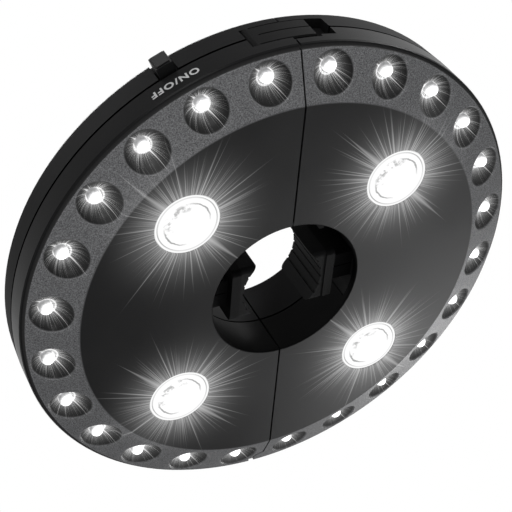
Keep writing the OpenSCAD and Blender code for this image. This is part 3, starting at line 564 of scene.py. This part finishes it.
def plain_plastic(name, shade, rough, ior, fine, speckle, strength, seam=False):
    material, tree, shader = new_material(name, IOR=ior, Specular_IOR_Level=PLASTIC_SPECULAR)
    grain = add_grain(tree, fine, PATCH_SCALE, speckle)
    base = put(tree, "ShaderNodeMix", data_type="RGBA")
    tree.links.new(grain["Patch"], base.inputs[0])
    for socket, share in ((6, 1 - PATCH_SHARE), (7, 1 + PATCH_SHARE)):
        grey, blue = shade * share, shade * (share + BLUE_SHARE)
        base.inputs[socket].default_value = (grey, grey, blue, 1)
    speck = grain["Speck"]
    if seam:
        # The groove is painted black and without gloss, as its shade.
        clear = outside(tree, seam_mask(tree, split_place(tree)["Z"]))
        tree.links.new(times(tree, clear, PLASTIC_SPECULAR), shader.inputs["Specular IOR Level"])
        speck = times(tree, speck, clear)
    speckled = put(tree, "ShaderNodeVectorMath", {0: base.outputs[2], "Scale": speck}, operation="SCALE")
    tree.links.new(speckled.outputs[0], shader.inputs["Base Color"])
    uneven = plus(tree, times(tree, grain["Patch"], PATCH_ROUGHNESS), rough)
    tree.links.new(uneven, shader.inputs["Roughness"])
    bump = put(tree, "ShaderNodeBump",
               {"Height": grain["Height"], "Strength": strength, "Distance": BUMP_DEPTH})
    tree.links.new(bump.outputs[0], shader.inputs["Normal"])
    return material


HOUSING = plain_plastic("charcoal_housing", shade=0.0075, rough=0.52, ior=1.08,
                        fine=1500.0, speckle=0.4, strength=0.12, seam=True)
LEVER = plain_plastic("charcoal_lever", shade=0.004, rough=0.45, ior=1.1,
                      fine=1700.0, speckle=0.3, strength=0.08)
BUTTON = plain_plastic("satin_button", shade=0.007, rough=0.36, ior=1.25,
                       fine=1900.0, speckle=0.3, strength=0.06)
JAW = plain_plastic("satin_jaw", shade=0.003, rough=0.5, ior=1.08,
                    fine=1600.0, speckle=0.3, strength=0.08)
RUBBER = plain_plastic("soft_rubber", shade=0.004, rough=0.72, ior=1.15,
                       fine=1100.0, speckle=0.5, strength=0.3)
dress(HOUSING, *both("rear_housing"), *both("battery_door"), *both("hook"))
dress(LEVER, "latch_lever")
dress(BUTTON, "power_button")
dress(JAW, *both("jaw"), "tact_switch")
dress(RUBBER, *both("jaw_pad"), "switch_plunger")
print("plain plastics:", [m.name for m in (HOUSING, LEVER, BUTTON, JAW, RUBBER)])

# %% [markdown]
# ## Metal pieces and boards
#
# Pins, screws and springs are plated steel: nearly white, metallic, with faint lines along the
# way they were turned or drawn. Stretching a noise along one axis gives such lines. The circuit
# boards wear a white solder mask so that they throw light forward, and the reflector cups are
# metallised plastic, smoother than any real metal.

# %% Metals and boards
DRAWN_LINES = 900.0
LINE_ROUGHER, LINE_BUMP, LINE_DEPTH = 0.16, 0.05, 0.1 * MM


def metal(name, colour, rough, stretch):
    material, tree, shader = new_material(name, Base_Color=(*colour, 1), Metallic=1.0)
    place = put(tree, "ShaderNodeMapping", {"Vector": object_place(tree), "Scale": stretch})
    lines = put(tree, "ShaderNodeTexNoise",
                {"Vector": place.outputs[0], "Scale": DRAWN_LINES, "Detail": 3.0}).outputs[0]
    tree.links.new(plus(tree, times(tree, lines, LINE_ROUGHER), rough), shader.inputs["Roughness"])
    bump = put(tree, "ShaderNodeBump", {"Height": lines, "Strength": LINE_BUMP, "Distance": LINE_DEPTH})
    tree.links.new(bump.outputs[0], shader.inputs["Normal"])
    return material


STEEL = metal("plated_steel", (0.62, 0.62, 0.63), 0.2, (1, 1, 0.1))
CONTACT = metal("nickel_contact", (0.68, 0.66, 0.6), 0.24, (1, 1, 1))
MIRROR = metal("metallised_cup", (0.86, 0.87, 0.88), 0.06, (1, 1, 0.2))
BOARD = plain_plastic("white_board", shade=0.72, rough=0.4, ior=1.5,
                      fine=900.0, speckle=0.06, strength=0.03)
dress(STEEL, "hinge_pin", "latch_pin", *both("hook_pin"), *both("housing_screws"), *both("jaw_spring"))
dress(CONTACT, *both("battery_plates"), *both("battery_springs"))
dress(MIRROR, *all_four("spot_reflector"))
dress(BOARD, *both("ring_board"), "switch_board", *all_four("spot_board"))
print("metals and boards:", [m.name for m in (STEEL, CONTACT, MIRROR, BOARD)])

# %% [markdown]
# ## The battery cells
#
# A cell wears a dark plastic sleeve under a clear gloss, with a broad pale metal band at both
# ends. The cells lie along Y, so the distance along Y tells the sleeve from the bands, and the
# same mask that changes the colour makes the bands metallic. The cells show when a battery door
# slides open.

# %% Battery cells
SLEEVE_END = (16.5 * MM, 16.8 * MM)
SLEEVE_COLOUR = (0.03, 0.034, 0.042, 1)
BAND_COLOUR = (0.42, 0.37, 0.28, 1)
SLEEVE_GLOSS, SLEEVE_ROUGHNESS, SLEEVE_PATCH = 0.4, 0.25, 0.1
SLEEVE_GRAIN = {"fine": 700.0, "coarse": 60.0, "speckle": 0.1}


def cell_finish():
    material, tree, shader = new_material("cell_sleeve", Coat_Weight=SLEEVE_GLOSS)
    grain = add_grain(tree, **SLEEVE_GRAIN)
    end = ramp(tree, math_node(tree, "ABSOLUTE", split_place(tree)["Y"]), *SLEEVE_END)
    base = put(tree, "ShaderNodeMix", {0: end, 6: SLEEVE_COLOUR, 7: BAND_COLOUR}, data_type="RGBA")
    speck = put(tree, "ShaderNodeVectorMath",
                {0: base.outputs[2], "Scale": grain["Speck"]}, operation="SCALE")
    tree.links.new(speck.outputs[0], shader.inputs["Base Color"])
    tree.links.new(end, shader.inputs["Metallic"])
    rough = plus(tree, times(tree, grain["Patch"], SLEEVE_PATCH), SLEEVE_ROUGHNESS)
    tree.links.new(rough, shader.inputs["Roughness"])
    return material


CELL = cell_finish()
dress(CELL, *all_four("battery_cell"))
print("battery cells dressed in", CELL.name)

# %% [markdown]
# ## The lit lamps
#
# A lit lamp is far brighter than anything round it, so the picture shows its core as plain
# white. The clear body round the core is only faintly lit, and looks brighter at its outline,
# where the eye looks along its wall. So the emission falls from a strong core at the tip to a
# weak body, Layer Weight adds the outline, and a coarse grain breaks up the whole.

# %% Lamp finishes
CLEAR_BODY = (0.2, 0.2, 0.21, 1)
OUTLINE = (0.6, 0.95)
OUTLINE_GAIN = 3.0
CORE_SHARE = 0.25
LAMP_GRAIN = {"fine": 1100.0, "coarse": 500.0, "speckle": 1.6}


def lamp_finish(name, kind, tip, core, body, reach):
    """A clear lamp: the core strength at its tip falls to the body strength at the reach."""
    material, tree, shader = new_material(name, Base_Color=CLEAR_BODY, Roughness=0.12)
    places = add_lamp_places(tree)
    aside = length_of(tree, places[kind + " X"], places[kind + " Y"])
    distance = length_of(tree, aside, minus(tree, split_place(tree)["Z"], tip))
    fall = {"From Min": reach * CORE_SHARE, "From Max": reach, "To Min": core, "To Max": body}
    light = put(tree, "ShaderNodeMapRange", {"Value": distance, **fall},
                interpolation_type="SMOOTHSTEP").outputs[0]
    facing = put(tree, "ShaderNodeLayerWeight", {"Blend": 0.5}).outputs["Facing"]
    light = plus(tree, light, times(tree, ramp(tree, facing, *OUTLINE), body * OUTLINE_GAIN))
    grain = add_grain(tree, **LAMP_GRAIN)
    glow_with(tree, shader, times(tree, light, grain["Speck"]))
    return material


spot_lamp_low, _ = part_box("spot_leds_a")
RING_LAMP = lamp_finish("lit_lamp", "Lamp", tip=lamp_low.z, core=2.4, body=0.24, reach=4.1 * MM)
SPOT_LAMP = lamp_finish("lit_spot_lamp", "Spot", tip=spot_lamp_low.z, core=4.0, body=2.4, reach=4 * MM)
dress(RING_LAMP, *both("ring_leds"))
dress(SPOT_LAMP, *both("spot_leds"))
print("lamp tips at", round(1000 * lamp_low.z, 2), "and", round(1000 * spot_lamp_low.z, 2), "mm")

# %% [markdown]
# ## The spot light lenses
#
# Each spot light has a clear pressed lens. Lit from behind it is nearly white all over, with a
# few grey marks where it bends the light away: broken rings, a bunch of small facets and a thin
# line round its raised middle. Real glass before a real lamp would need many light paths to
# look lit, so the lens is given its own glow with those marks in it. A noise makes the rings
# wobble and breaks the facets up.

# %% Spot lens finish
ARC_R, ARC_HALF, ARC_DARK = 8.6 * MM, 0.45 * MM, 0.65
FACET_R, FACET_HALF, FACET_DARK = 7.2 * MM, 2.2 * MM, 0.5
LINE_R, LINE_HALF, EDGE_DARK = 11.15 * MM, 0.35 * MM, 0.55
ARC_ENDS, FACET_SIDE, FACET_SPECKS = (0.95, 1.38), (0.3, 1.1), (0.5, 0.62)
FLANGE = (11.9 * MM, 12.3 * MM)
BLOT_SCALE, WOBBLE, SEED_SHIFT = 420.0, 1.2 * MM, 0.01
RING_CORE = 0.3
LEAST_LIGHT = 0.2
LENS_BODY = (0.03, 0.03, 0.03, 1)


def ring_mark(tree, distance, radius, half_width):
    """1 on a ring of the given radius, falling to 0 over the half width."""
    return near(tree, distance, radius, half_width * RING_CORE, half_width)


def lens_marks(tree, places):
    """The share of light that the marks in the lens take away."""
    x, y = places["Spot X"], places["Spot Y"]
    distance = length_of(tree, x, y)
    side = over(tree, minus(tree, x, y), distance)
    ends = ramp(tree, math_node(tree, "ABSOLUTE", side), *ARC_ENDS)
    toward = ramp(tree, over(tree, plus(tree, x, y), distance), *FACET_SIDE)
    seed = times(tree, places["Spot Seed"], SEED_SHIFT)
    spot = put(tree, "ShaderNodeCombineXYZ", {"X": x, "Y": y, "Z": seed}).outputs[0]
    blot = put(tree, "ShaderNodeTexNoise",
               {"Vector": spot, "Scale": BLOT_SCALE, "Detail": 2.0, "Roughness": 0.6}).outputs[0]
    wobbly = plus(tree, distance, times(tree, minus(tree, blot, NOISE_MIDDLE), WOBBLE))
    arcs = times(tree, ring_mark(tree, wobbly, ARC_R, ARC_HALF), ends)
    facets = times(tree, ring_mark(tree, distance, FACET_R, FACET_HALF), toward)
    facets = times(tree, facets, ramp(tree, blot, *FACET_SPECKS))
    line = ring_mark(tree, distance, LINE_R, LINE_HALF)
    edge = math_node(tree, "MAXIMUM", line, ramp(tree, distance, *FLANGE))
    marks = plus(tree, times(tree, arcs, ARC_DARK), times(tree, facets, FACET_DARK))
    return plus(tree, marks, times(tree, edge, EDGE_DARK))


def lens_finish():
    material, tree, shader = new_material("lit_lens", Base_Color=LENS_BODY, Roughness=0.1, IOR=1.08)
    marks = lens_marks(tree, add_lamp_places(tree))
    glow_with(tree, shader, math_node(tree, "MAXIMUM", outside(tree, marks), LEAST_LIGHT))
    return material


LENS = lens_finish()
dress(LENS, *all_four("spot_lens"))
print("lens finish has", len(LENS.node_tree.nodes), "nodes")

# %% [markdown]
# ## The ink of the printed word
#
# Pad-printed ink on grained plastic is never one even grey, because it lies thinner on the
# peaks of the grain. A fine noise mixes two greys, and the ink is duller than the plastic.

# %% Ink
THIN_INK = (0.26, 0.26, 0.26, 1)
FULL_INK = (0.4, 0.4, 0.4, 1)
INK_GRAIN = 1400.0

INK, ink_tree, ink_shader = new_material("pale_ink", Roughness=0.55)
wear = put(ink_tree, "ShaderNodeTexNoise", {"Vector": object_place(ink_tree), "Scale": INK_GRAIN})
tones = {0: wear.outputs[0], 6: THIN_INK, 7: FULL_INK}
tone = put(ink_tree, "ShaderNodeMix", tones, data_type="RGBA")
ink_tree.links.new(tone.outputs[2], ink_shader.inputs["Base Color"])
print("ink greys:", THIN_INK[0], "to", FULL_INK[0])

# %% [markdown]
# ## The word on the rim
#
# Beside the button the rim carries the words ON/OFF in thin pale capitals. They are printed on
# a round wall, so flat text has to be bent to it. The text is made a mesh, cut into narrow
# strips so that it can bend, and each point is then wrapped round the wall at the rim's radius.
# It lies a hair above the wall, so that the two surfaces don't fight.

# %% Printed word
WORD_HEIGHT, WORD_WIDTH = 3.1 * MM, 18.1 * MM
WORD_LOW_Z = 11.6 * MM
WORD_LIFT = 0.04 * MM
WORD_STRIPS = 60
STROKE_OFFSET = 0.03
LETTER_SPACING = 1.18


def flat_word(words):
    curve = bpy.data.curves.new("rim_word", "FONT")
    curve.body = words
    curve.align_x = "CENTER"
    curve.offset = STROKE_OFFSET
    curve.space_character = LETTER_SPACING
    holder = bpy.data.objects.new("rim_word_text", curve)
    scene.collection.objects.link(holder)
    bpy.context.view_layer.update()
    mesh = bpy.data.meshes.new_from_object(holder)
    bpy.data.objects.remove(holder)
    return mesh


def wrap_word(mesh):
    """Cuts the flat word into strips and wraps it round the rim, read from outside."""
    shape = bmesh.new()
    shape.from_mesh(mesh)
    low_x, high_x = min(v.co.x for v in shape.verts), max(v.co.x for v in shape.verts)
    low_y, high_y = min(v.co.y for v in shape.verts), max(v.co.y for v in shape.verts)
    for i in range(1, WORD_STRIPS):
        x = low_x + (high_x - low_x) * i / WORD_STRIPS
        geometry = shape.verts[:] + shape.edges[:] + shape.faces[:]
        bmesh.ops.bisect_plane(shape, geom=geometry, plane_co=(x, 0, 0), plane_no=(1, 0, 0))
    radius = OUTER_R + WORD_LIFT
    for v in shape.verts:
        share_x = (v.co.x - low_x) / (high_x - low_x)
        share_y = (v.co.y - low_y) / (high_y - low_y)
        angle = math.radians(BUTTON_ANGLE) + (0.5 - share_x) * WORD_WIDTH / OUTER_R
        z = WORD_LOW_Z + WORD_HEIGHT * (1 - share_y)
        v.co = (radius * math.cos(angle), radius * math.sin(angle), z)
    bmesh.ops.recalc_face_normals(shape, faces=shape.faces)
    if sum(f.normal.dot(f.calc_center_median()) for f in shape.faces) < 0:
        bmesh.ops.reverse_faces(shape, faces=shape.faces)
    shape.to_mesh(mesh)
    shape.free()


word_mesh = flat_word("ON/OFF")
wrap_word(word_mesh)
word_mesh.materials.clear()
word_mesh.materials.append(INK)
word = bpy.data.objects.new("rim_word", word_mesh)
scene.collection.objects.link(word)
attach(word, "half_a")
print("word faces:", len(word_mesh.polygons))

# %% [markdown]
# ## The jaw springs
#
# The two jaw springs are pressed together when the jaws open. A coil that keeps its pitch would
# run through the wall behind it. Each one is copied, its loose triangles are merged and its faces
# are smoothed, and the copy is shown on its half in place of the CAD spring.

# %% Springs
MERGE_DISTANCE = 1e-6


def squeeze_spring(node, body):
    mesh = nodes[node].data.copy()
    shape = bmesh.new()
    shape.from_mesh(mesh)
    bmesh.ops.remove_doubles(shape, verts=shape.verts, dist=MERGE_DISTANCE)
    shape.to_mesh(mesh)
    shape.free()
    for polygon in mesh.polygons:
        polygon.use_smooth = True
    piece = bpy.data.objects.new(node + "_shown", mesh)
    scene.collection.objects.link(piece)
    for slot in piece.material_slots:
        slot.material = STEEL
    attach(piece, body)
    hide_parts(node)
    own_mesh(piece)


squeeze_spring("jaw_spring_a", "half_a")
squeeze_spring("jaw_spring_b", "half_b")

# %% [markdown]
# ## The floor
#
# The light hangs high in the air, so the floor lies well below it. It is a large pale sheet
# that takes the studio light, and for rays that go straight to the camera some plain white is
# mixed in, so that the ground stays pale in every view.

# %% Floor
FLOOR_Z = -1.3
FLOOR_HALF = 4.0
FLOOR_WHITE = 0.6
FLOOR_GREY = (0.9, 0.9, 0.9, 1)
PURE_WHITE = (1, 1, 1, 1)

floor_shape = bmesh.new()
bmesh.ops.create_grid(floor_shape, x_segments=1, y_segments=1, size=FLOOR_HALF)
floor_mesh = bpy.data.meshes.new("floor")
floor_shape.to_mesh(floor_mesh)
floor_shape.free()
floor = bpy.data.objects.new("floor", floor_mesh)
scene.collection.objects.link(floor)
floor.location = (0, 0, FLOOR_Z)
dull = {"Roughness": 1.0, "Specular_IOR_Level": 0.0}
FLOOR, floor_tree, floor_shader = new_material("pale_floor", Base_Color=FLOOR_GREY, **dull)
white = put(floor_tree, "ShaderNodeEmission", {"Color": PURE_WHITE, "Strength": 1.0})
seen = times(floor_tree, put(floor_tree, "ShaderNodeLightPath").outputs["Is Camera Ray"], FLOOR_WHITE)
surface = put(floor_tree, "ShaderNodeMixShader",
              {0: seen, 1: floor_shader.outputs[0], 2: white.outputs[0]})
floor_tree.links.new(surface.outputs[0], floor_tree.nodes["Material Output"].inputs["Surface"])
floor_mesh.materials.append(FLOOR)
print("floor at", FLOOR_Z, "m")

# %% [markdown]
# ## The background
#
# The white behind the object comes from the world, and only for rays that go straight to the
# camera, off gloss or through glass, so that it adds no light to the object. All other rays
# find a dim, slightly cool sky, which fills the shadows.

# %% World
DIM_SKY, DIM_STRENGTH = (0.8, 0.82, 0.85, 1), 0.35

world = bpy.data.worlds.new("studio")
scene.world = world
world.use_nodes = True
sky = world.node_tree
sky.nodes.clear()
path = put(sky, "ShaderNodeLightPath").outputs
mirrored = math_node(sky, "MAXIMUM", path["Is Glossy Ray"], path["Is Transmission Ray"])
shows_white = math_node(sky, "MAXIMUM", path["Is Camera Ray"], mirrored)
dim_sky = put(sky, "ShaderNodeBackground", {"Color": DIM_SKY, "Strength": DIM_STRENGTH})
white_sky = put(sky, "ShaderNodeBackground", {"Color": PURE_WHITE, "Strength": 1.0})
mixed = put(sky, "ShaderNodeMixShader",
            {0: shows_white, 1: dim_sky.outputs[0], 2: white_sky.outputs[0]})
put(sky, "ShaderNodeOutputWorld", {"Surface": mixed.outputs[0]})
print("world:", world.name)

# %% [markdown]
# ## Light
#
# Black plastic shows its form almost only by what it mirrors, so the lamps are placed for their
# sheen. The top lamp lights the back and, off the floor, the face. The crown lamp lights the
# band on the latch side, the side lamp the rim of half B, and a weak fill the face from below.
# The key and the graze lie behind the object, seen from the camera, and only draw a soft sheen
# across the face, so they are kept from lighting it evenly.

# %% Lamps
AIM = (0, 0, 0.02)
STUDIO = {
    "key": ((-0.62, -0.85, -0.5), 0.4, 4.5),
    "graze": ((-0.68, -0.75, -0.2), 0.4, 10),
    "fill": ((0.5, 0.3, -0.95), 0.9, 1.0),
    "crown": ((0.35, 1.0, -0.14), 0.5, 6.3),
    "side": ((-0.8, 0.5, 0.45), 0.4, 15),
    "top": ((0.05, -0.1, 1.4), 0.7, 30),
}
SHEEN_ONLY = ("key", "graze")

for name, (stand, size, power) in STUDIO.items():
    light = bpy.data.lights.new(name, "AREA")
    light.shape = "DISK"
    light.size = size
    light.energy = power
    lamp = bpy.data.objects.new(name, light)
    scene.collection.objects.link(lamp)
    lamp.location = stand
    lamp.visible_diffuse = name not in SHEEN_ONLY
    lamp.rotation_euler = (Vector(AIM) - Vector(stand)).to_track_quat("-Z", "Y").to_euler()
print("studio lamps:", list(STUDIO))
